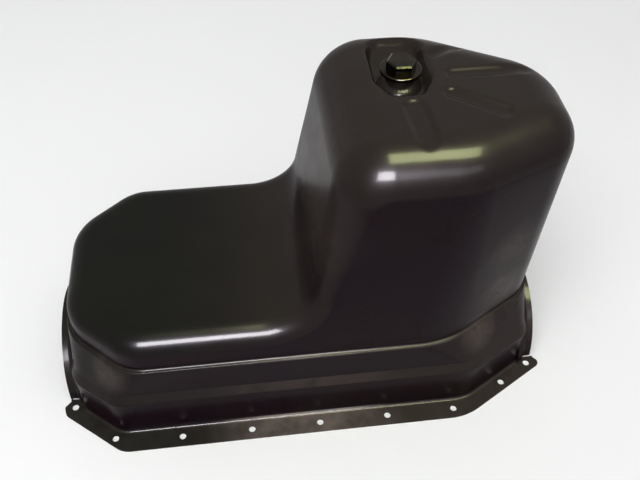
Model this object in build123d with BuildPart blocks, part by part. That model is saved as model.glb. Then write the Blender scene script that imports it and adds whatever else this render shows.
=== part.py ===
"""Engine oil pan: one deep drawn steel pressing, its baffle and its drain fittings.

The pan stands joint face down on z = 0 with its sump floor up, as it stands on a bench.
+X runs along the crankshaft toward the deep sump, the two rails are at -Y and +Y.
"""
from build123d import *
import os

os.makedirs("parts", exist_ok=True)

# Sheet and joint flange
sheet = 1.6
railHalfWidth = 131.5
bendRadius = 3.0
flangeLeft = [(-239.5, -70.0), (-245.0, -76.0), (-243.0, -85.5), (-185.5, -railHalfWidth)]
flangeRight = [(156.5, -railHalfWidth), (250.0, -78.3), (243.0, -71.0)]
flangeRadii = [1.0, 4.0, 8.0, 22.0, 62.0, 5.0, 2.0]

# Bolt holes, clearance for M6
boltHole = 6.6
railPitch = 68.0
railFirst = -127.5
railHoleCount = 5
railHoleY = 121.5
cornerHoleLeft = (-192.5, 116.5)
cornerHoleRight = (201.0, 97.0)
earHole = (234.5, 77.0)
earPadRadius = 9.5
earPadDepth = 0.5

# Skirt between the flange and the ledge
skirtEnd = 229.0
skirtHalfWidth = 110.4
skirtCornerLeft = (186.0, 76.0)
skirtCornerRight = (159.5, 70.8)
skirtRadii = [30.0, 24.0, 55.0, 22.0]
shoulderLow = 50.0
shoulderHigh = 61.0
shoulderStep = 4.2
shoulderBlend = 3.5
ledgeRise = 96.5
ledgeEnd = 226.0
ledgeHalfWidth = 107.0
ledgeCornerLeft = (168.0, 55.0)
ledgeCornerRight = (130.0, 50.0)
ledgeRadii = [56.0, 50.0, 110.0, 42.0]
ledgeStep = 3.0
ledgeBlend = 2.4

# Upper body: shallow tray on the left, deep sump on the right
trayHeight = 133.0
trayFade = 14.0
trayCorner = (160.0, 64.0)
sumpHeight = 316.0
sumpWallFoot = -1.2
sumpWallHead = 26.3
sumpRunIn = 46.0
sumpCrown = 50.0
topRadius = 30.0
floorEnd = 226.0
floorFrontWidth = 95.5
floorRearWidth = 93.0
floorCornerFront = (132.0, 61.0)
floorCornerRear = (112.0, 28.0)
floorRadiiFront = [50.0, 40.0, 90.0, 42.0]
floorRadiiRear = [50.0, 40.0, 90.0, 70.0]

# Half round cut-outs over the crankshaft seals
archRadiusLeft = 68.0
archRadiusRight = 69.6
archLipEnd = 238.8
archFlare = 5.0

# Drain recess and the four stiffening grooves that run out from it
plugX = 88.0
plugY = 20.0
recessHalfWidth = 23.5
recessBack = 72.0
recessFront = -12.0
recessFrontHalf = 12.0
recessFrontWide = 8.0
recessLevelEnd = 44.0
recessDeep = 14.0
recessShallow = 2.0
recessDraft = 2.5
recessRadii = [6.0, 6.0, 14.0, 22.5, 22.5, 14.0]
grooveDepth = 3.0
grooveSlope = 3.0
grooves = [
    ((90.5, -28.0), (92.5, -62.0), 10.0),
    ((118.0, 41.0), (142.0, 51.5), 5.5),
    ((131.0, 12.5), (190.0, 13.0), 6.5),
    ((124.0, -13.0), (160.0, -40.0), 7.0),
]

# Drain fittings, thread M14
bossFoot = 14.0
bossTop = 11.0
bossHeight = 12.5
bossSpigot = 9.5
bossSpigotReach = 6.0
threadRadius = 7.0
threadPlay = 0.05
plugReach = 17.0
plugFlange = 17.5
plugFlangeThick = 3.0
plugHexAcross = 22.0
plugHexHeight = 7.5
plugChamfer = 1.2
washerThick = 1.5
washerRadius = 12.5

# Baffle spot welded across the mouth of the sump
baffleThick = 1.2
baffleLevel = 114.0
baffleGap = 0.6
baffleStart = 16.0
tabHeight = 14.0
tabWidth = 26.0
tabPlacesX = [60.0, 120.0]
pickupX = 120.0
pickupLength = 70.0
pickupWidth = 56.0
drainHole = 12.0


def outline(level, near, nearRadii, far=None, farRadii=None):
    """Closed outline from its -Y half, mirrored in the XZ plane unless a +Y half is given."""
    far = far or [(x, -y) for x, y in near]
    radii = nearRadii + (farRadii or nearRadii)[::-1]
    with BuildSketch(Plane.XY.offset(level)) as section:
        with BuildLine():
            FilletPolyline(*near, *far[::-1], radius=radii, close=True)
        make_face()
    return section.sketch


def skirtOutline(level, inset):
    points = [
        (-skirtEnd + inset, -skirtCornerLeft[1] + inset),
        (-skirtCornerLeft[0] + inset / 2, -skirtHalfWidth + inset),
        (skirtCornerRight[0] - inset / 2, -skirtHalfWidth + inset),
        (skirtEnd - inset, -skirtCornerRight[1] + inset),
    ]
    return outline(level, points, [r - inset for r in skirtRadii])


def ledgeOutline(level, inset):
    points = [
        (-ledgeEnd + inset, -ledgeCornerLeft[1] + inset / 2),
        (-ledgeCornerLeft[0] + inset / 2, -ledgeHalfWidth + inset),
        (ledgeCornerRight[0] - inset / 2, -ledgeHalfWidth + inset),
        (ledgeEnd - inset, -ledgeCornerRight[1] + inset / 2),
    ]
    return outline(level, points, [r - inset for r in ledgeRadii])


def floorOutline(level, inset):
    """Outline at the sump floor, its rear right corner drawn well in."""
    trayEnd = -ledgeEnd + trayFade + inset
    trayTurn = -trayCorner[0] + inset / 2
    trayEndWidth = trayCorner[1] - inset / 2
    near = [
        (trayEnd, -trayEndWidth),
        (trayTurn, -floorFrontWidth + inset),
        (floorCornerFront[0] - inset / 2, -floorFrontWidth + inset),
        (floorEnd - inset, -floorCornerFront[1] + inset / 2),
    ]
    far = [
        (trayEnd, trayEndWidth),
        (trayTurn, floorRearWidth - inset),
        (floorCornerRear[0] - inset / 2, floorRearWidth - inset),
        (floorEnd - inset, floorCornerRear[1] - inset / 2),
    ]
    nearRadii = [r - inset for r in floorRadiiFront]
    farRadii = [r - inset for r in floorRadiiRear]
    return outline(level, near, nearRadii, far, farRadii)


def edgesAt(builder, level):
    """Edges that lie wholly in one horizontal plane."""
    return builder.edges().filter_by(
        lambda e: abs(e.center().Z - level) < 0.01 and e.bounding_box().size.Z < 0.01
    )


def lofted(sections):
    with BuildPart() as form:
        loft(sections, ruled=True)
    return form.part


def slotFace(level, start, end, halfWidth):
    middle = ((start[0] + end[0]) / 2, (start[1] + end[1]) / 2)
    with BuildSketch(Plane.XY.offset(level)) as section:
        SlotCenterPoint(middle, end, 2 * halfWidth)
    return section.sketch


def groove(start, end, halfWidth, inset):
    """Round ended groove pressed into the sump floor with sloping sides."""
    level = sumpHeight - inset
    rise = 1.0
    top = slotFace(level + rise, start, end, halfWidth + inset / 2 + rise)
    bottom = slotFace(level - grooveDepth, start, end, halfWidth + inset / 2 - grooveSlope)
    return lofted([top, bottom])


def recessFace(level, spread):
    """Plan of the drain recess: round at the back, narrowing to the front."""
    half = recessHalfWidth + spread
    front = recessFrontHalf + spread
    points = [
        (plugX - front, recessFront - spread),
        (plugX + front, recessFront - spread),
        (plugX + half, recessFrontWide),
        (plugX + half, recessBack + spread),
        (plugX - half, recessBack + spread),
        (plugX - half, recessFrontWide),
    ]
    with BuildSketch(Plane.XY.offset(level)) as section:
        with BuildLine():
            FilletPolyline(*points, radius=recessRadii, close=True)
        make_face()
    return section.sketch


def drainRecess(inset):
    """Recess the plug stands in, level under the plug and rising toward the back."""
    level = sumpHeight - inset
    bottom = level - recessDeep
    prism = lofted([recessFace(level + 2, inset / 2 + recessDraft), recessFace(bottom, inset / 2)])
    reach = 20.0
    with BuildPart() as cutter:
        add(prism)
        with BuildSketch(Plane.YZ.offset(plugX)):
            with BuildLine():
                Polyline(
                    (recessFront - reach, bottom),
                    (recessLevelEnd, bottom),
                    (recessBack + reach, level - recessShallow),
                    (recessBack + reach, level + reach),
                    (recessFront - reach, level + reach),
                    close=True,
                )
            make_face()
        extrude(amount=2 * recessHalfWidth, both=True, mode=Mode.INTERSECT)
    return cutter.part


def bodySolid(inset):
    """Outside of the drawn body at inset 0, its inside at an inset of one sheet."""
    joint = ledgeRise - 10
    overhang = ledgeEnd + 10
    with BuildPart() as upper:
        with BuildSketch(Plane.XZ):
            with BuildLine():
                FilletPolyline(
                    (-overhang, joint),
                    (-overhang, trayHeight - inset),
                    (sumpWallFoot + inset, trayHeight - inset),
                    (sumpWallHead + inset, sumpHeight - inset),
                    (overhang, sumpHeight - inset),
                    (overhang, joint),
                    radius=[0, 0, sumpRunIn + inset, sumpCrown - inset, 0, 0],
                    close=True,
                )
            make_face()
        extrude(amount=railHalfWidth, both=True)
        plan = [ledgeOutline(joint, ledgeStep + inset), floorOutline(sumpHeight, inset)]
        loft(plan, ruled=True, mode=Mode.INTERSECT)
        rim = upper.edges().filter_by(
            lambda e: e.bounding_box().min.Z > trayHeight - inset - 0.1
            and (e.bounding_box().size.X > 0.01 or abs(e.center().X) > 100)
        )
        fillet(rim, topRadius - inset)
    lowShoulder = shoulderLow - inset / 2
    highShoulder = shoulderHigh - inset / 2
    sections = [
        skirtOutline(-2 * inset, inset),
        skirtOutline(lowShoulder, inset),
        skirtOutline(highShoulder, inset + shoulderStep),
        ledgeOutline(ledgeRise - inset, inset),
    ]
    with BuildPart() as body:
        loft(sections, ruled=True)
        fillet(edgesAt(body, lowShoulder), shoulderBlend - inset / 2)
        fillet(edgesAt(body, highShoulder), shoulderBlend + inset / 2)
        fillet(edgesAt(body, ledgeRise - inset), ledgeBlend)
        add(upper.part)
        add(drainRecess(inset), mode=Mode.SUBTRACT)
        for start, end, halfWidth in grooves:
            add(groove(start, end, halfWidth, inset), mode=Mode.SUBTRACT)
    return body.part


def archCollar(side, radius):
    """Half round collar that stands out of an end wall and holds the end seal."""
    outer = radius + sheet
    foot = side * (skirtEnd - archFlare)
    flareStart = side * (skirtEnd - 0.5)
    flareEnd = flareStart + side * archFlare
    with BuildPart() as collar:
        with BuildSketch(Plane.XY):
            with BuildLine():
                Polyline(
                    (flareEnd, outer),
                    (side * archLipEnd, outer),
                    (side * archLipEnd, 0),
                    (foot, 0),
                    (foot, outer + archFlare),
                    (flareStart, outer + archFlare),
                )
                RadiusArc((flareStart, outer + archFlare), (flareEnd, outer), -side * archFlare)
            make_face()
        revolve(axis=Axis.X, revolution_arc=180)
    return collar.part


def archOpening(side, radius):
    with BuildPart() as opening:
        with BuildSketch(Plane.YZ.offset(side * (skirtEnd - 4 * archFlare))):
            Circle(radius)
        extrude(amount=side * 10 * archFlare)
    return opening.part


boltHoles = [(railFirst + railPitch * i, railHoleY) for i in range(railHoleCount)]
boltHoles += [cornerHoleLeft, cornerHoleRight]
boltHoles += [(x, -y) for x, y in boltHoles]
earHoles = [(x, y) for x in (-earHole[0], earHole[0]) for y in (-earHole[1], earHole[1])]
recessFloor = sumpHeight - recessDeep

bodyOuter = bodySolid(0)
bodyInner = bodySolid(sheet)
collars = [archCollar(-1, archRadiusLeft), archCollar(1, archRadiusRight)]
archOpenings = [archOpening(-1, archRadiusLeft), archOpening(1, archRadiusRight)]

with BuildPart() as pan_shell:
    add(bodyOuter)
    with BuildSketch():
        add(outline(0, flangeLeft + flangeRight, flangeRadii))
    extrude(amount=sheet)
    flangeTops = pan_shell.faces().filter_by(Plane.XY).filter_by(
        lambda f: abs(f.center().Z - sheet) < 0.01
    )
    fillet(flangeTops.sort_by(SortBy.AREA)[-1].inner_wires()[0].edges(), bendRadius)
    for collar in collars:
        add(collar)
    add(bodyInner, mode=Mode.SUBTRACT)
    joint = pan_shell.faces().sort_by(Axis.Z)[0]
    fillet(joint.inner_wires()[0].edges(), bendRadius + sheet)
    for opening in archOpenings:
        add(opening, mode=Mode.SUBTRACT)
    with BuildSketch():
        with Locations(boltHoles + earHoles):
            Circle(boltHole / 2)
    extrude(amount=2 * sheet, mode=Mode.SUBTRACT)
    with BuildSketch(Plane.XY.offset(sheet - earPadDepth)):
        with Locations(earHoles):
            Circle(earPadRadius)
    extrude(amount=3 * sheet, mode=Mode.SUBTRACT)
    with BuildSketch(Plane.XY.offset(recessFloor - 3 * sheet)):
        with Locations((plugX, plugY)):
            Circle(bossSpigot)
    extrude(amount=6 * sheet, mode=Mode.SUBTRACT)
pan_shell.part.label = "pan_shell"
export_step(pan_shell.part, "parts/pan_shell.step")

with BuildPart() as drain_boss:
    with BuildSketch(Plane.XY.offset(recessFloor)):
        with Locations((plugX, plugY)):
            Circle(bossFoot)
    with BuildSketch(Plane.XY.offset(recessFloor + bossHeight)):
        with Locations((plugX, plugY)):
            Circle(bossTop)
    loft(ruled=True)
    with BuildSketch(Plane.XY.offset(recessFloor - bossSpigotReach)):
        with Locations((plugX, plugY)):
            Circle(bossSpigot)
    extrude(amount=bossSpigotReach)
    with BuildSketch(Plane.XY.offset(recessFloor - bossSpigotReach)):
        with Locations((plugX, plugY)):
            Circle(threadRadius + threadPlay)
    extrude(amount=bossSpigotReach + bossHeight, mode=Mode.SUBTRACT)
drain_boss.part.label = "drain_boss"
export_step(drain_boss.part, "parts/drain_boss.step")

washerLevel = recessFloor + bossHeight
with BuildPart() as drain_washer:
    with BuildSketch(Plane.XY.offset(washerLevel)):
        with Locations((plugX, plugY)):
            Circle(washerRadius)
            Circle(threadRadius + 0.4, mode=Mode.SUBTRACT)
    extrude(amount=washerThick)
drain_washer.part.label = "drain_washer"
export_step(drain_washer.part, "parts/drain_washer.step")

flangeLevel = washerLevel + washerThick
with BuildPart() as drain_plug:
    with BuildSketch(Plane.XY.offset(flangeLevel - plugReach)):
        with Locations((plugX, plugY)):
            Circle(threadRadius)
    extrude(amount=plugReach)
    chamfer(drain_plug.edges().group_by(Axis.Z)[0], plugChamfer)
    with BuildSketch(Plane.XY.offset(flangeLevel)):
        with Locations((plugX, plugY)):
            Circle(plugFlange)
    extrude(amount=plugFlangeThick)
    fillet(drain_plug.edges().group_by(Axis.Z)[-1], plugChamfer)
    with BuildSketch(Plane.XY.offset(flangeLevel + plugFlangeThick)):
        with Locations((plugX, plugY)):
            RegularPolygon(plugHexAcross / 2, 6, major_radius=False)
    extrude(amount=plugHexHeight)
    chamfer(drain_plug.faces().sort_by(Axis.Z)[-1].edges(), plugChamfer)
drain_plug.part.label = "drain_plug"
export_step(drain_plug.part, "parts/drain_plug.step")

baffleMiddle = (baffleStart + ledgeEnd) / 2
lipWidth = 2 * (ledgeHalfWidth - topRadius)
holeRow = pickupWidth / 2 + 2 * drainHole
with BuildPart() as plate:
    with Locations((baffleMiddle, 0, baffleLevel + baffleThick / 2)):
        Box(ledgeEnd - baffleStart, 2 * railHalfWidth, baffleThick)
    add(bodySolid(sheet + baffleGap), mode=Mode.INTERSECT)
    with Locations((baffleStart + baffleThick / 2, 0, baffleLevel + tabHeight / 4)):
        Box(baffleThick, lipWidth, tabHeight / 2)
    with BuildSketch(Plane.XY.offset(baffleLevel - baffleThick)):
        with Locations((pickupX, 0)):
            RectangleRounded(pickupLength, pickupWidth, drainHole)
            with GridLocations(pickupLength - drainHole, 2 * holeRow, 3, 2):
                Circle(drainHole / 2)
    extrude(amount=4 * baffleThick, mode=Mode.SUBTRACT)

tabMiddle = baffleLevel + tabHeight / 2
with BuildPart() as sump_baffle:
    with Locations([(x, side * ledgeHalfWidth, tabMiddle) for x in tabPlacesX for side in (-1, 1)]):
        Box(tabWidth, 4 * topRadius, tabHeight)
    with Locations((ledgeEnd, 0, tabMiddle)):
        Box(4 * topRadius, tabWidth, tabHeight)
    add(bodyInner, mode=Mode.INTERSECT)
    add(bodySolid(sheet + baffleThick), mode=Mode.SUBTRACT)
    add(plate.part)
sump_baffle.part.label = "sump_baffle"
export_step(sump_baffle.part, "parts/sump_baffle.step")
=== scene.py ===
import bmesh
import bpy
import math
import numpy as np
from mathutils import Matrix, Vector


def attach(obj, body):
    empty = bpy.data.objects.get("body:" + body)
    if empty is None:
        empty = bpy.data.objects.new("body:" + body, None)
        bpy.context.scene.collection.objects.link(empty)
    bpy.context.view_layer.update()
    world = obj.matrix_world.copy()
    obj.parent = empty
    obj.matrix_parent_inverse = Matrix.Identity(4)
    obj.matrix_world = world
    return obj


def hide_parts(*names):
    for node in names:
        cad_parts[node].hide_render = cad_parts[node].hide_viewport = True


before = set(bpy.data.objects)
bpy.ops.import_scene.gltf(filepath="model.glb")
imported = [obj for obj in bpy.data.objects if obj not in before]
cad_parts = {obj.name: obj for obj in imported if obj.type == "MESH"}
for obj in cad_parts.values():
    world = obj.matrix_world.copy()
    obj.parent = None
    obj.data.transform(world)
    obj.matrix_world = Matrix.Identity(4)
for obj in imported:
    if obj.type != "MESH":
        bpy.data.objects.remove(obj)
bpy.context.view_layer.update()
print("frame loaded", sorted(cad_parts))


# small helpers for node materials
def newMaterial(name):
    mat = bpy.data.materials.new(name)
    mat.use_nodes = True
    nodes = mat.node_tree.nodes
    nodes.clear()
    out = nodes.new("ShaderNodeOutputMaterial")
    shader = nodes.new("ShaderNodeBsdfPrincipled")
    mat.node_tree.links.new(shader.outputs["BSDF"], out.inputs["Surface"])
    return mat, shader


def fill(mat, socket, value):
    # links a socket, or sets it to a number, a vector or a colour of three parts
    if isinstance(value, bpy.types.NodeSocket):
        mat.node_tree.links.new(value, socket)
    elif socket.type == "RGBA":
        socket.default_value = (*value, 1.0)
    else:
        socket.default_value = value


def addNode(mat, kind, settings=None, **inputs):
    # makes a node, sets its properties, then fills its inputs by name
    node = mat.node_tree.nodes.new(kind)
    for key, value in (settings or {}).items():
        setattr(node, key, value)
    for key, value in inputs.items():
        fill(mat, node.inputs[key], value)
    return node


def objectCoords(mat):
    return addNode(mat, "ShaderNodeTexCoord").outputs["Object"]


def noise(mat, coords, scale, detail=3.0, rough=0.55):
    return addNode(mat, "ShaderNodeTexNoise", Vector=coords, Scale=scale, Detail=detail,
                   Roughness=rough).outputs["Fac"]


def spread(mat, value, low, high, toLow=0.0, toHigh=1.0):
    # moves the range low..high of a value onto toLow..toHigh, held at both ends
    node = addNode(mat, "ShaderNodeMapRange", {"clamp": True}, Value=value)
    ends = {"From Min": low, "From Max": high, "To Min": toLow, "To Max": toHigh}
    for key, number in ends.items():
        node.inputs[key].default_value = number
    return node.outputs["Result"]


def blendColours(mat, factor, first, second):
    node = mat.node_tree.nodes.new("ShaderNodeMix")
    node.data_type = "RGBA"
    for place, value in ((0, factor), (6, first), (7, second)):  # the colour sockets of a mix
        fill(mat, node.inputs[place], value)
    return node.outputs[2]


def combined(mat, operation, *values):
    # one arithmetic operation carried through several values, each a socket or a number
    total = values[0]
    for value in values[1:]:
        node = addNode(mat, "ShaderNodeMath", {"operation": operation})
        fill(mat, node.inputs[0], total)
        fill(mat, node.inputs[1], value)
        total = node.outputs[0]
    return total


def nearSpot(mat, where, spot, near, far, most):
    # the full amount within the near distance of a spot, falling to nothing at the far one
    away = addNode(mat, "ShaderNodeVectorMath", {"operation": "DISTANCE"})
    fill(mat, away.inputs[0], where)
    fill(mat, away.inputs[1], spot)
    return spread(mat, away.outputs["Value"], near, far, most, 0.0)


def bump(mat, height, strength, distance, normal=None):
    inputs = {"Height": height, "Strength": strength, "Distance": distance}
    if normal is not None:
        inputs["Normal"] = normal
    return addNode(mat, "ShaderNodeBump", **inputs).outputs["Normal"]


def plug(mat, shader, socket, value):
    fill(mat, shader.inputs[socket], value)


def give(node, mat):
    # one material on every slot of a frame node
    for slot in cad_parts[node].material_slots:
        slot.material = mat


millimetre = 0.001

# the body of the pan above its ledge, all sizes in millimetres
body = {
    "sheet": 1.6,
    "ledgeLevel": 96.5,
    "jointLevel": 86.5,
    "footRadius": 2.4,
    "footReach": 0.6,
    "lift": 0.04,
    "trayHeight": 133.0,
    "sumpHeight": 316.0,
    "wallFoot": -1.2,
    "wallHead": 26.3,
    "runIn": 46.0,
    "crown": 46.0,
    "trayRim": 20.0,
    "sumpRim": 38.0,
    "spine": (-160.0, 118.0),
    "spineTurns": (-120.0, 80.0),
    "ledgeCorners": [(-223.0, -53.5), (-166.5, -104.0), (128.5, -104.0), (223.0, -48.5)],
    "ledgeRadii": [53.0, 47.0, 107.0, 39.0],
    "floorFront": [(-212.0, -64.0), (-160.0, -95.5), (132.0, -95.5), (226.0, -61.0)],
    "frontRadii": [50.0, 40.0, 90.0, 42.0],
    "floorRear": [(-212.0, 64.0), (-160.0, 93.0), (112.0, 93.0), (226.0, 28.0)],
    "rearRadii": [50.0, 40.0, 90.0, 70.0],
    "leftSteps": [6, 12, 8, 12],
    "lineSteps": [18, 18, 12, 50, 70],
    "rightSteps": [24, 22, 18, 12],
    "outerRows": (12, 14, 62),
    "innerRows": (4, 6, 14),
    "footRows": 6,
}

# the pressed hollows in the sump floor: the drain recess and the four grooves round it
hollows = {
    "searchDepth": 12.0,
    "searchFrom": 45.0,
    "corners": [(76.0, -12.0), (100.0, -12.0), (111.5, 8.0),
                (111.5, 72.0), (64.5, 72.0), (64.5, 8.0)],
    "radii": [6.0, 6.0, 14.0, 22.5, 22.5, 14.0],
    "deep": 14.0,
    "levelEnd": 44.0,
    "riseEnd": 92.0,
    "shallow": 2.0,
    "rimOut": 2.6,
    "rimIn": 4.5,
    "grooves": [
        ((90.5, -28.0), (92.5, -62.0), 10.0),
        ((118.0, 41.0), (142.0, 51.5), 5.5),
        ((131.0, 12.5), (190.0, 13.0), 6.5),
        ((124.0, -13.0), (160.0, -40.0), 7.0),
    ],
    "grooveDepth": 2.4,
    "grooveOut": 1.6,
    "grooveIn": 4.2,
    "merge": 5.0,
}


def smoothStep(value):
    value = np.clip(value, 0, 1)
    return value * value * (3 - 2 * value)


def roundedLoop(corners, radii, along):
    # closed outline with an arc at every corner: the whole part of along picks an arc (even)
    # or the straight after it (odd), and its fraction is the way along that
    corner, radius = np.array(corners, float), np.array(radii, float)
    toBack = np.roll(corner, 1, 0) - corner
    toNext = np.roll(corner, -1, 0) - corner
    toBack /= np.linalg.norm(toBack, axis=1)[:, None]
    toNext /= np.linalg.norm(toNext, axis=1)[:, None]
    inner = np.arccos(np.clip((toBack * toNext).sum(1), -1, 1))
    cut = radius / np.tan(inner / 2)
    enter = corner + toBack * cut[:, None]
    leave = corner + toNext * cut[:, None]
    centre = enter + radius[:, None] * np.stack([toBack[:, 1], -toBack[:, 0]], 1)
    start = np.arctan2(*(enter - centre).T[::-1])
    whole = np.floor(along).astype(int)
    part = (along - whole)[:, None]
    k = (whole // 2) % len(corner)
    turn = start[k] + part[:, 0] * (math.pi - inner[k])
    arc = centre[k] + radius[k][:, None] * np.stack([np.cos(turn), np.sin(turn)], 1)
    straight = leave[k] + part * (np.roll(enter, -1, 0)[k] - leave[k])
    return np.where((whole % 2 == 0)[:, None], arc, straight)


def wallPoint(spec, along, level):
    # the drawn wall is ruled between its outline at the ledge and its outline at the sump floor
    ledge = spec["ledgeCorners"] + [(x, -y) for x, y in spec["ledgeCorners"]][::-1]
    floor = spec["floorFront"] + spec["floorRear"][::-1]
    low = roundedLoop(ledge, spec["ledgeRadii"] + spec["ledgeRadii"][::-1], along)
    high = roundedLoop(floor, spec["frontRadii"] + spec["rearRadii"][::-1], along)
    level = np.broadcast_to(np.asarray(level, float), along.shape)
    part = (level - spec["jointLevel"]) / (spec["sumpHeight"] - spec["jointLevel"])
    return np.column_stack([low + (high - low) * part[:, None], level])


def wallNormal(spec, along, level):
    # cross product of the run round the outline and the rise of the wall
    step = 0.002
    run = wallPoint(spec, along + step, level) - wallPoint(spec, along - step, level)
    rise = wallPoint(spec, along, level + 1.0) - wallPoint(spec, along, level)
    normal = np.cross(run, rise)
    return normal / np.linalg.norm(normal, axis=1)[:, None]


def roofLine(spec, start, end):
    # the roof's long section: tray, concave arc, sloping wall, convex arc and sump floor,
    # as x, z, slope angle and rim radius of each step
    slope = math.atan2(spec["sumpHeight"] - spec["trayHeight"], spec["wallHead"] - spec["wallFoot"])
    half = math.tan(slope / 2)
    lowCut, highCut = spec["runIn"] * half, spec["crown"] * half
    tray, low, wall, high, floor = spec["lineSteps"]
    turns = np.linspace(0, slope, low + 1)
    xLow = spec["wallFoot"] - lowCut + spec["runIn"] * np.sin(turns)
    zLow = spec["trayHeight"] + spec["runIn"] * (1 - np.cos(turns))
    back = np.linspace(slope, 0, high + 1)
    xHigh = spec["wallHead"] + highCut - spec["crown"] * np.sin(back)
    zHigh = spec["sumpHeight"] - spec["crown"] * (1 - np.cos(back))
    part = np.linspace(0, 1, wall + 1)[1:-1]
    x = np.concatenate([np.linspace(start, xLow[0], tray + 1)[:-1], xLow,
                        xLow[-1] + part * (xHigh[0] - xLow[-1]), xHigh,
                        np.linspace(xHigh[-1], end, floor + 1)[1:]])
    z = np.concatenate([np.full(tray, spec["trayHeight"]), zLow,
                        zLow[-1] + part * (zHigh[0] - zLow[-1]), zHigh,
                        np.full(floor, spec["sumpHeight"])])
    angle = np.concatenate([np.zeros(tray), turns, np.full(wall - 1, slope), back, np.zeros(floor)])
    rise = smoothStep((z - spec["trayHeight"]) / (spec["sumpHeight"] - spec["trayHeight"]))
    return x, z, angle, spec["trayRim"] + rise * (spec["sumpRim"] - spec["trayRim"])


def stretches(steps, marks):
    # evenly spaced positions through several stretches that follow each other
    spans = zip(steps, marks[:-1], marks[1:])
    return np.concatenate([np.linspace(a, b, count + 1)[:-1] for count, a, b in spans])


def footLevel(spec, normal):
    return spec["ledgeLevel"] + spec["lift"] + spec["footRadius"] * (1 - normal[:, 2])


def flatRim(spec, along, height, radius):
    # columns where the roof is level: the ball touches the wall and a level roof
    normal = wallNormal(spec, along, height - radius)
    touch = wallPoint(spec, along, height - radius + radius * normal[:, 2])
    roof = np.tile([0.0, 0.0, 1.0], (len(along), 1))
    foot = wallPoint(spec, along, footLevel(spec, normal))
    return foot, touch - radius * normal, normal, roof, np.full(len(along), radius)


def halfRim(spec, front):
    # columns of one half of the body, from the middle of the left end to that of the right:
    # foot on the wall, centre of the rim's rolling ball, wall normal, roof normal and ball radius
    turn = (lambda a: a) if front else (lambda a: 15.0 - a)
    left = turn(stretches(spec["leftSteps"], [-0.5, 0, 1, 2, 3]))
    right = turn(np.append(stretches(spec["rightSteps"], [4, 5, 6, 7, 7.5])[1:], 7.5))
    ends = turn(np.array([3.0, 4.0]))
    trayEdge = flatRim(spec, ends, spec["trayHeight"], spec["trayRim"])[1][0, 0]
    floorEdge = flatRim(spec, ends, spec["sumpHeight"], spec["sumpRim"])[1][1, 0]
    x, z, angle, radius = roofLine(spec, trayEdge, floorEdge)
    middle = turn(np.array([3.5]))
    normal = wallNormal(spec, middle, spec["trayHeight"]) * [0, 1, 1]
    normal /= np.linalg.norm(normal)
    anchor = wallPoint(spec, middle, footLevel(spec, normal))[0]
    ballX, ballZ = x + radius * np.sin(angle), z - radius * np.cos(angle)
    ballY = anchor[1] - (radius + normal[0, 2] * (ballZ - anchor[2])) / normal[0, 1]
    ball = np.column_stack([ballX, ballY, ballZ])
    footEnds = wallPoint(spec, ends, anchor[2])[:, 0]
    footX = footEnds[0] + (ballX - ballX[0]) / (ballX[-1] - ballX[0]) * (footEnds[1] - footEnds[0])
    foot = np.column_stack([footX, np.full(len(x), anchor[1]), np.full(len(x), anchor[2])])
    roof = np.column_stack([-np.sin(angle), np.zeros(len(x)), np.cos(angle)])
    line = (foot, ball, np.tile(normal, (len(x), 1)), roof, radius)
    parts = [flatRim(spec, left, spec["trayHeight"], spec["trayRim"]), line,
             flatRim(spec, right, spec["sumpHeight"], spec["sumpRim"])]
    return [np.concatenate(group) for group in zip(*parts)]


def swing(first, second, steps):
    # unit vectors that turn evenly from first to second, one array for each step
    angle = np.arccos(np.clip((first * second).sum(1), -1, 1))[:, None]
    return [(np.sin((1 - t) * angle) * first + np.sin(t * angle) * second) / np.sin(angle)
            for t in steps]


def bodyRows(spec, half, spineX, counts):
    # points and normals of every column from the shelf up: concave foot, wall, rim and roof
    foot, ball, normal, roof, radius = half
    wallRows, rimRows, roofRows = counts
    small, ballRadius = spec["footRadius"], radius[:, None]
    up = np.tile([0.0, 0.0, 1.0], (len(foot), 1))
    hub = foot + small * normal
    level = normal * [1, 1, 0]
    facing = [up] + swing(up, normal, np.linspace(0, 1, spec["footRows"]))
    points = [hub - small * up + spec["footReach"] * level] + [hub - small * n for n in facing[1:]]
    touch = ball + ballRadius * normal
    points += [foot + t * (touch - foot) for t in np.linspace(0, 1, wallRows + 1)[1:]]
    facing += [normal] * wallRows
    rim = swing(normal, roof, np.linspace(0, 1, rimRows + 1)[1:])
    points += [ball + ballRadius * n for n in rim]
    facing += rim
    top = ball + ballRadius * roof
    spine = np.column_stack([spineX, np.zeros(len(top)), top[:, 2]])
    points += [top + t * (spine - top) for t in np.linspace(0, 1, roofRows + 1)[1:]]
    facing += [roof] * roofRows
    return np.stack(points, 1), np.stack(facing, 1)


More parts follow.
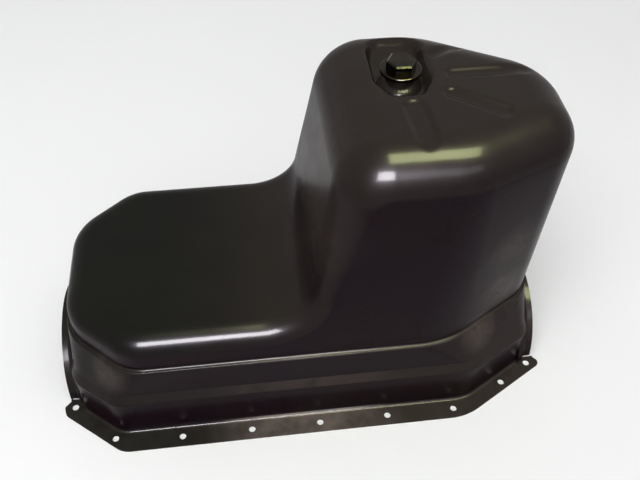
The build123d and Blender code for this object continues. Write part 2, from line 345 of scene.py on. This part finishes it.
def hollowDepth(spec, x, y):
    # how far the floor is pressed down: each hollow goes from nothing to its depth as the signed
    # distance from its outline passes from rimOut to -rimIn, and hollows that meet are merged
    count = len(spec["corners"])
    along = np.linspace(0, 2 * count, 60 * count, endpoint=False)
    outline = roundedLoop(spec["corners"], spec["radii"], along)
    onward = roundedLoop(spec["corners"], spec["radii"], along + 1e-4) - outline
    outward = np.stack([onward[:, 1], -onward[:, 0]], 1)
    outward /= np.linalg.norm(outward, axis=1)[:, None]
    away = np.stack([x, y], 1)[:, None] - outline[None]
    nearest = (away ** 2).sum(2).argmin(1)
    signed = (away[np.arange(len(x)), nearest] * outward[nearest]).sum(1)
    rise = np.clip((y - spec["levelEnd"]) / (spec["riseEnd"] - spec["levelEnd"]), 0, 1)
    deep = spec["deep"] - (spec["deep"] - spec["shallow"]) * rise
    press = smoothStep((spec["rimOut"] - signed) / (spec["rimOut"] + spec["rimIn"]))
    total = (deep * press) ** spec["merge"]
    for start, end, half in spec["grooves"]:
        axis = np.subtract(end, start)
        run = (x - start[0]) * axis[0] + (y - start[1]) * axis[1]
        part = np.clip(run / (axis ** 2).sum(), 0, 1)
        signed = np.hypot(x - start[0] - part * axis[0], y - start[1] - part * axis[1]) - half
        press = smoothStep((spec["grooveOut"] - signed) / (spec["grooveOut"] + spec["grooveIn"]))
        total += (spec["grooveDepth"] * press) ** spec["merge"]
    return total ** (1 / spec["merge"])


def pressHollows(points):
    # lowers the points near the level of the sump floor into the hollows
    high = points[..., 2] > body["sumpHeight"] - hollows["searchDepth"]
    floor = high & (points[..., 0] > hollows["searchFrom"])
    chosen = points[floor]
    chosen[:, 2] -= hollowDepth(hollows, chosen[:, 0], chosen[:, 1])
    points[floor] = chosen


def ringFaces(columns, rows, first=0, flip=False):
    # quads of a grid whose columns run round a closed ring
    c, r = np.meshgrid(np.arange(columns), np.arange(rows - 1), indexing="ij")
    here, beside = c * rows + r, (c + 1) % columns * rows + r
    quads = np.stack([here, beside, beside + 1, here + 1], -1).reshape(-1, 4) + first
    return quads[:, ::-1] if flip else quads


def makePiece(name, points, faces, mat, weld=2e-6):
    # a mesh from arrays in metres, with the points that meet along its seams made one
    mesh = bpy.data.meshes.new(name)
    mesh.from_pydata(points.tolist(), [], faces.tolist())
    form = bmesh.new()
    form.from_mesh(mesh)
    bmesh.ops.remove_doubles(form, verts=form.verts, dist=weld)
    form.to_mesh(mesh)
    form.free()
    mesh.shade_smooth()
    mesh.materials.append(mat)
    piece = bpy.data.objects.new(name, mesh)
    bpy.context.collection.objects.link(piece)
    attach(piece, "root")
    return piece


def drawnBody(mat, spec=body):
    # outer and inner face of the drawn body, joined along the bottom edge
    halves = [halfRim(spec, True), halfRim(spec, False)]
    middleX = sum(half[1][:, 0] + half[4] * half[3][:, 0] for half in halves) / 2
    leftTurn, rightTurn = spec["spineTurns"]
    toLeft = (leftTurn - spec["spine"][0]) / (leftTurn - middleX.min())
    toRight = (spec["spine"][1] - rightTurn) / (middleX.max() - rightTurn)
    spineX = np.where(middleX < leftTurn, leftTurn + (middleX - leftTurn) * toLeft, middleX)
    spineX = np.where(middleX > rightTurn, rightTurn + (middleX - rightTurn) * toRight, spineX)
    sides, faces, total = [], [], 0
    for counts, depth in ((spec["outerRows"], 0.0), (spec["innerRows"], spec["sheet"])):
        front, rear = [bodyRows(spec, half, spineX, counts) for half in halves]
        grid = np.concatenate([front[0], rear[0][-2:0:-1]])
        pressHollows(grid)
        facing = np.concatenate([front[1], rear[1][-2:0:-1]])
        grid = grid - depth * facing
        sides.append(grid)
        faces.append(ringFaces(grid.shape[0], grid.shape[1], total, depth > 0))
        total += grid.shape[0] * grid.shape[1]
    outer, inner = sides
    columns, outRows = outer.shape[:2]
    inRows = inner.shape[1]
    here = np.arange(columns)
    beside = (here + 1) % columns
    innerFirst = columns * outRows
    edge = np.stack([here * outRows, innerFirst + here * inRows,
                     innerFirst + beside * inRows, beside * outRows], 1)
    points = np.concatenate([outer.reshape(-1, 3), inner.reshape(-1, 3)]) * millimetre
    return makePiece("drawn_body", points, np.concatenate(faces + [edge]), mat)


lowerPart = {"level": 0.09655, "digits": 6}


def lowerPan(mat, spec=lowerPart):
    # flange, skirt, shoulder and ledge: the solid's own faces up to the ledge, its doubled points
    # merged and its corner normals carried over
    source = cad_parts["pan_shell"].data
    place = np.empty(len(source.vertices) * 3)
    source.vertices.foreach_get("co", place)
    place = place.reshape(-1, 3)
    corners = np.empty(len(source.loops), int)
    source.loops.foreach_get("vertex_index", corners)
    facing = np.empty(len(source.loops) * 3)
    source.corner_normals.foreach_get("vector", facing)
    triangles, facing = corners.reshape(-1, 3), facing.reshape(-1, 3, 3)
    low = place[triangles][:, :, 2].max(1) <= spec["level"]
    kept, facing = triangles[low], facing[low]
    loose = np.round(place[kept].reshape(-1, 3), spec["digits"])
    unique, index = np.unique(loose, axis=0, return_inverse=True)
    index = index.reshape(-1, 3)
    whole = (index != np.roll(index, 1, 1)).all(1)
    mesh = bpy.data.meshes.new("lower_pan")
    mesh.from_pydata(unique.tolist(), [], index[whole].tolist())
    closed = bmesh.new()
    closed.from_mesh(mesh)
    rims = [edge for edge in closed.edges if edge.is_boundary]
    levels = {round(corner.co.z, 4) for edge in rims for corner in edge.verts}
    if len(levels) == 2:  # the cut through the sheet, hidden by the drawn body, gets a strip
        lid = bmesh.ops.bridge_loops(closed, edges=rims)["faces"]
        bmesh.ops.triangulate(closed, faces=lid)
    closed.to_mesh(mesh)
    closed.free()
    mesh.shade_smooth()
    carried = np.zeros((len(mesh.loops), 3))  # at nought a corner takes its face's own normal
    carried[:3 * whole.sum()] = facing[whole].reshape(-1, 3)
    mesh.normals_split_custom_set(carried.tolist())
    mesh.materials.append(mat)
    piece = bpy.data.objects.new("lower_pan", mesh)
    bpy.context.collection.objects.link(piece)
    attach(piece, "root")
    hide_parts("pan_shell")
    return piece


# fillet weld round the foot of the drain boss, in millimetres
filletWeld = {
    "centre": (88.0, 20.0),
    "floor": 302.0,
    "foot": (19.6, -0.6),
    "head": (12.4, 6.2),
    "bore": 1.5,
    "belly": 0.9,
    "lean": 2.2,
    "ripple": 0.04,
    "ripples": 34,
    "waver": (0.3, 3, 0.6),
    "swell": 0.7,
    "steps": (276, 12),
}


def makeWeld(mat, spec=filletWeld):
    # a sloping, slightly full section carried round a circle, with ripples that lean along the
    # seam, closed inside by a ring under the boss
    around, across = spec["steps"]
    turn = np.linspace(0, 2 * math.pi, around, endpoint=False)[:, None]
    part = np.linspace(0, 1, across)[None]
    (footR, footZ), (headR, headZ) = spec["foot"], spec["head"]
    full = np.sin(math.pi * part)
    ripple = spec["ripple"] * np.sin(spec["ripples"] * turn + spec["lean"] * full)
    size, waves, shift = spec["waver"]
    bead = full * (spec["belly"] + ripple) + size * full * np.sin(waves * turn + shift)
    reach = footR + (headR - footR) * part + spec["swell"] * bead
    rise = footZ + (headZ - footZ) * part + spec["swell"] * bead
    inside, lines = np.full((around, 1), headR - spec["bore"]), np.ones((around, 1))
    reach = np.concatenate([reach, inside, inside], 1)
    rise = np.concatenate([rise, headZ * lines, footZ * lines], 1)
    across += 2
    middleX, middleY = spec["centre"]
    points = np.stack([middleX + reach * np.cos(turn), middleY + reach * np.sin(turn),
                       spec["floor"] + rise], -1).reshape(-1, 3) * millimetre
    c, r = np.meshgrid(np.arange(around), np.arange(across), indexing="ij")
    here, beside = c * across, (c + 1) % around * across
    onward = (r + 1) % across
    quads = np.stack([here + r, beside + r, beside + onward, here + onward], -1)
    return makePiece("boss_weld", points, quads.reshape(-1, 4), mat)


# black enamel of the pressing, with dust and painted sheen, a painted highlight and painted
# reflections in its colour; a range is the low and high of a value, then what they become
paint = {
    "wall": (0.0055, 0.0014, 0.0044),
    "brown": (0.0070, 0.0026, 0.0034),
    "cloudScale": 9.0,
    "cloud": (0.28, 0.74),
    # dust and painted sheen: the pale colours of faces that look up, greener on the tray and paler on
    # the sump, stand for dust and for painted reflections
    "trayDustAndSheen": (0.0082, 0.0094, 0.0068),
    "sumpDustAndSheen": (0.0245, 0.0200, 0.0162),
    "dustAndSheenTurn": (-0.13, 0.02),
    "filmScale": 16.0,
    "film": (0.25, 0.75, 0.76, 1.0),
    "sloping": (0.08, 0.16, 0.0, 0.5),
    "upward": (0.30, 0.98, 0.0, 0.5),
    # painted light: the drain recess and the boss in it are painted paler round this spot, against
    # their shade
    "drain": ((0.088, 0.020, 0.305), 0.030, 0.044, 0.95),
    # painted sheen: the pale colour of the rail's painted sheen, of the painted highlight on the skirt
    # steps and of the painted reflections
    "sheenColour": (0.120, 0.096, 0.086),
    "sheenMiddle": -0.005,
    "sheenReach": (0.030, 0.100, 1.0, 0.12),
    "railTop": (0.003, 0.006, 1.0, 0.0),
    "skirtTop": (0.0975, 0.1000, 1.0, 0.0),
    # painted highlight: the ledge steps of the skirt are painted paler along their edge
    "stepSlope": (0.18, 0.40),
    "stepHighlight": (0.0, 1.0, 0.06, 0.24),
    "sheenNoiseScale": 60.0,
    "sheenNoise": (0.30, 0.62, 0.45, 1.0),
    # painted reflections: pale spots painted on where reflections fall, the first partly as paler
    # paint too
    "paintedReflections": [  # place, full within, gone beyond, strength
        ((0.014, -0.030, 0.235), 0.020, 0.080, 0.20),
        ((0.183, -0.073, 0.185), 0.006, 0.040, 0.24),
        ((0.188, -0.069, 0.130), 0.008, 0.040, 0.34),
        ((0.166, -0.091, 0.088), 0.008, 0.028, 0.42),
        ((-0.186, -0.094, 0.084), 0.006, 0.026, 0.34),
    ],
    # painted highlight: the pale colour painted along the bend of the rail
    "bendHighlight": (0.30, 0.265, 0.235),
    "foldFoot": (0.0024, 0.0030),
    "foldHead": (0.0046, 0.0056, 1.0, 0.0),
    "foldHighlight": (0.30, 0.90, 0.0, 0.75),
    "specular": 0.036,
    "tint": (1.0, 0.86, 0.98),
    "hazeScale": 14.0,
    "haze": (0.26, 0.78, 0.22, 0.40),
    "coat": 0.055,
    "coatRoughness": 0.125,
    "peelScale": 260.0,
    "peel": 0.00004,
    "waveScale": 11.0,
    "wave": 0.0009,
}


def dustAndSheen(mat, where, rise, spec):
    # dust and painted sheen: faces that look up are painted paler, as dust and as a painted
    # reflection, and the drain recess is painted paler still, as painted light against its shade
    slopes = combined(mat, "ADD", spread(mat, rise, *spec["sloping"]),
                      spread(mat, rise, *spec["upward"]))
    dustAndSheenMask = combined(mat, "MAXIMUM", slopes, nearSpot(mat, where, *spec["drain"]))
    film = spread(mat, noise(mat, where, spec["filmScale"]), *spec["film"])
    return combined(mat, "MULTIPLY", dustAndSheenMask, film)


def paintedSheen(mat, where, rise, low, mid, spec):
    # painted sheen: the rail is painted paler, most of all in the middle, and so are the steps of the
    # skirt, as a painted highlight, and the spots of painted reflection
    rail = combined(mat, "MULTIPLY", mid, spread(mat, low, *spec["railTop"]))
    steps = combined(mat, "MULTIPLY", spread(mat, rise, *spec["stepSlope"]),
                     spread(mat, low, *spec["skirtTop"]), spread(mat, mid, *spec["stepHighlight"]))
    paintedReflections = [nearSpot(mat, where, *reflectionSpot) for reflectionSpot in spec["paintedReflections"]]
    sheen = combined(mat, "MAXIMUM", rail, steps, *paintedReflections)
    sheenNoise = spread(mat, noise(mat, where, spec["sheenNoiseScale"], 4.0), *spec["sheenNoise"])
    return combined(mat, "MULTIPLY", sheen, sheenNoise)


def blackPaint(name="blackPaint", spec=paint):
    mat, shader = newMaterial(name)
    where = objectCoords(mat)
    axes = addNode(mat, "ShaderNodeSeparateXYZ", Vector=where).outputs
    along, low = axes["X"], axes["Z"]
    normal = addNode(mat, "ShaderNodeNewGeometry").outputs["Normal"]
    rise = addNode(mat, "ShaderNodeSeparateXYZ", Vector=normal).outputs["Z"]
    off = addNode(mat, "ShaderNodeMath", {"operation": "ABSOLUTE"})
    fill(mat, off.inputs[0], combined(mat, "ADD", along, -spec["sheenMiddle"]))
    mid = spread(mat, off.outputs[0], *spec["sheenReach"])
    cloud = spread(mat, noise(mat, where, spec["cloudScale"]), *spec["cloud"])
    wall = blendColours(mat, cloud, spec["wall"], spec["brown"])
    # the colour of dust and painted sheen, going from the tray's to the sump's along the pan
    dustAndSheenColour = blendColours(mat, spread(mat, along, *spec["dustAndSheenTurn"]), spec["trayDustAndSheen"], spec["sumpDustAndSheen"])
    painted = blendColours(mat, dustAndSheen(mat, where, rise, spec), wall, dustAndSheenColour)
    # the rail, the skirt steps and the spots of painted reflection are painted paler, as painted sheen
    # and highlights
    painted = blendColours(mat, paintedSheen(mat, where, rise, low, mid, spec), painted, spec["sheenColour"])
    # the bend of the rail is painted pale along its middle, as a painted highlight
    fold = combined(mat, "MULTIPLY", spread(mat, low, *spec["foldFoot"]),
                    spread(mat, low, *spec["foldHead"]), spread(mat, mid, *spec["foldHighlight"]))
    plug(mat, shader, "Base Color", blendColours(mat, fold, painted, spec["bendHighlight"]))
    plug(mat, shader, "Roughness", spread(mat, noise(mat, where, spec["hazeScale"]), *spec["haze"]))
    plug(mat, shader, "Specular IOR Level", spec["specular"])
    plug(mat, shader, "Specular Tint", spec["tint"])
    plug(mat, shader, "Coat Weight", spec["coat"])
    plug(mat, shader, "Coat Roughness", spec["coatRoughness"])
    wave = bump(mat, noise(mat, where, spec["waveScale"], 1.0), 0.6, spec["wave"])
    peel = bump(mat, noise(mat, where, spec["peelScale"], 2.0), 0.5, spec["peel"], wave)
    plug(mat, shader, "Normal", peel)
    plug(mat, shader, "Coat Normal", peel)
    return mat


panPaint = blackPaint()
drawnBody(panPaint)
print("drawn body done")
lowerPan(panPaint)
print("lower pan done")
give("drain_boss", blackPaint("bossPaint"))
give("sump_baffle", blackPaint("bafflePaint"))
makeWeld(blackPaint("weldPaint"))
print("paint done")


# plated drain plug and its sealing ring
plating = {
    "light": (0.026, 0.022, 0.013),
    "dark": (0.013, 0.011, 0.009),
    "stainScale": 90.0,
    "stain": (0.40, 0.62),
    "polish": (0.0, 1.0, 0.12, 0.26),
    "grainScale": 900.0,
    "grain": 0.00005,
}

ring = {
    "light": (0.55, 0.55, 0.53),
    "dark": (0.30, 0.30, 0.28),
    "stainScale": 150.0,
    "stain": (0.4, 0.6),
    "polish": (0.0, 1.0, 0.35, 0.6),
}


def bareMetal(name, spec, detail):
    # metal whose stains are darker and rougher
    mat, shader = newMaterial(name)
    where = objectCoords(mat)
    stain = spread(mat, noise(mat, where, spec["stainScale"], detail), *spec["stain"])
    plug(mat, shader, "Base Color", blendColours(mat, stain, spec["light"], spec["dark"]))
    plug(mat, shader, "Metallic", 1.0)
    plug(mat, shader, "Roughness", spread(mat, stain, *spec["polish"]))
    if "grain" in spec:
        grain = noise(mat, where, spec["grainScale"])
        plug(mat, shader, "Normal", bump(mat, grain, 0.3, spec["grain"]))
    return mat


give("drain_plug", bareMetal("platedSteel", plating, 4.0))
give("drain_washer", bareMetal("washerMetal", ring, 3.0))
print("fittings done")


# camera
view = {
    "place": (-0.04688, -0.49016, 0.68684),
    "heading": 7.9,
    "pitch": 48.0,
    "roll": 1.2,
    "lens": 42.75,
    "sensor": 36.0,
}


def makeCamera(spec=view):
    turn, down, roll = (math.radians(spec[key]) for key in ("heading", "pitch", "roll"))
    ahead = Vector((math.sin(turn) * math.cos(down), math.cos(turn) * math.cos(down),
                    -math.sin(down)))
    level = Vector((math.cos(turn), -math.sin(turn), 0))
    above = level.cross(ahead)
    right = math.cos(roll) * level + math.sin(roll) * above
    top = -math.sin(roll) * level + math.cos(roll) * above
    lensData = bpy.data.cameras.new("camera")
    lensData.lens = spec["lens"]
    lensData.sensor_width = spec["sensor"]
    camera = bpy.data.objects.new("camera", lensData)
    bpy.context.collection.objects.link(camera)
    pose = Matrix((right, top, -ahead)).transposed().to_4x4()
    pose.translation = Vector(spec["place"])
    camera.matrix_world = pose
    bpy.context.scene.camera = camera


makeCamera()


# floor, light and air
studio = {
    "floor": (0.93, 0.93, 0.94),
    "floorShade": 0.985,
    "floorReach": 5.0,
    "floorLines": 21,
    "air": 0.56,
    "backdrop": 0.93,
    "aim": Vector((0.03, 0.0, 0.15)),
}

# where each lamp hangs from the aim: distance, heading from +Y toward +X, height angle, a slide
# along its own width, size and strength; a gloss lamp is seen in the gloss of surfaces alone
lamps = {
    "key": {"far": 2.2, "heading": -150, "rise": 62, "slide": 0.0, "wide": 1.2, "deep": 1.2,
            "power": 29.0, "tint": (1.0, 1.0, 0.99), "gloss": False},
    "roof": {"far": 1.9, "heading": 176, "rise": 70, "slide": 0.54, "wide": 1.2, "deep": 0.7,
             "power": 225.0, "tint": (0.86, 1.0, 0.50), "gloss": True},
    "front": {"far": 2.0, "heading": 164, "rise": 30, "slide": 0.0, "wide": 1.8, "deep": 0.5,
              "power": 29.0, "tint": (0.90, 0.97, 1.0), "gloss": True},
    "window": {"far": 2.0, "heading": -172, "rise": 35, "slide": 0.0, "wide": 1.0, "deep": 0.66,
               "power": 420.0, "tint": (0.96, 0.99, 1.0), "gloss": True},
}


def makeFloor(spec=studio):
    reach = spec["floorReach"]
    steps = np.linspace(-reach, reach, spec["floorLines"])
    x, y = np.meshgrid(steps, steps)
    points = np.stack([x.ravel(), y.ravel(), np.zeros(x.size)], 1)
    side = len(steps)
    ahead = np.arange(side - 1)
    first = (ahead[:, None] * side + ahead[None]).ravel()
    quads = np.stack([first, first + 1, first + side + 1, first + side], 1)
    mesh = bpy.data.meshes.new("floor")
    mesh.from_pydata(points.tolist(), [], quads.tolist())
    floor = bpy.data.objects.new("floor", mesh)
    bpy.context.collection.objects.link(floor)
    mat, shader = newMaterial("floorPaper")
    tone = spread(mat, noise(mat, objectCoords(mat), 3.0), 0.3, 0.7)
    shade = tuple(part * spec["floorShade"] for part in spec["floor"])
    plug(mat, shader, "Base Color", blendColours(mat, tone, spec["floor"], shade))
    plug(mat, shader, "Roughness", 0.9)
    plug(mat, shader, "Specular IOR Level", 0.1)
    mesh.materials.append(mat)


def makeLamp(name, spec):
    turn, rise = math.radians(spec["heading"]), math.radians(spec["rise"])
    out = Vector((math.sin(turn) * math.cos(rise), math.cos(turn) * math.cos(rise),
                  math.sin(rise)))
    data = bpy.data.lights.new(name, "AREA")
    data.shape = "RECTANGLE"
    data.size, data.size_y = spec["wide"], spec["deep"]
    data.energy = spec["power"]
    data.color = spec["tint"]
    lamp = bpy.data.objects.new(name, data)
    lamp.visible_diffuse = not spec["gloss"]
    lamp.visible_glossy = spec["gloss"]
    bpy.context.collection.objects.link(lamp)
    side = Vector((0, 0, 1)).cross(out).normalized()
    pose = Matrix((side, out.cross(side), out)).transposed().to_4x4()
    pose.translation = studio["aim"] + spec["far"] * out + spec["slide"] * side
    lamp.matrix_world = pose


def makeAir(spec=studio):
    world = bpy.data.worlds.new("air")
    world.use_nodes = True
    nodes, links = world.node_tree.nodes, world.node_tree.links
    back = nodes["Background"]
    back.inputs["Color"].default_value = (1, 1, 1, 1)
    # the air lights at its own strength; the eye, gloss and glass see the pale backdrop
    path = nodes.new("ShaderNodeLightPath")
    seen = path.outputs["Is Camera Ray"]
    for name in ("Is Glossy Ray", "Is Transmission Ray"):
        either = nodes.new("ShaderNodeMath")
        either.operation = "MAXIMUM"
        links.new(seen, either.inputs[0])
        links.new(path.outputs[name], either.inputs[1])
        seen = either.outputs[0]
    level = nodes.new("ShaderNodeMapRange")
    level.inputs["To Min"].default_value = spec["air"]
    level.inputs["To Max"].default_value = spec["backdrop"]
    links.new(seen, level.inputs["Value"])
    links.new(level.outputs["Result"], back.inputs["Strength"])
    bpy.context.scene.world = world


makeFloor()
for lampName, lampSpec in lamps.items():
    makeLamp(lampName, lampSpec)
makeAir()
bpy.context.scene.view_settings.view_transform = "Standard"
print("studio done")
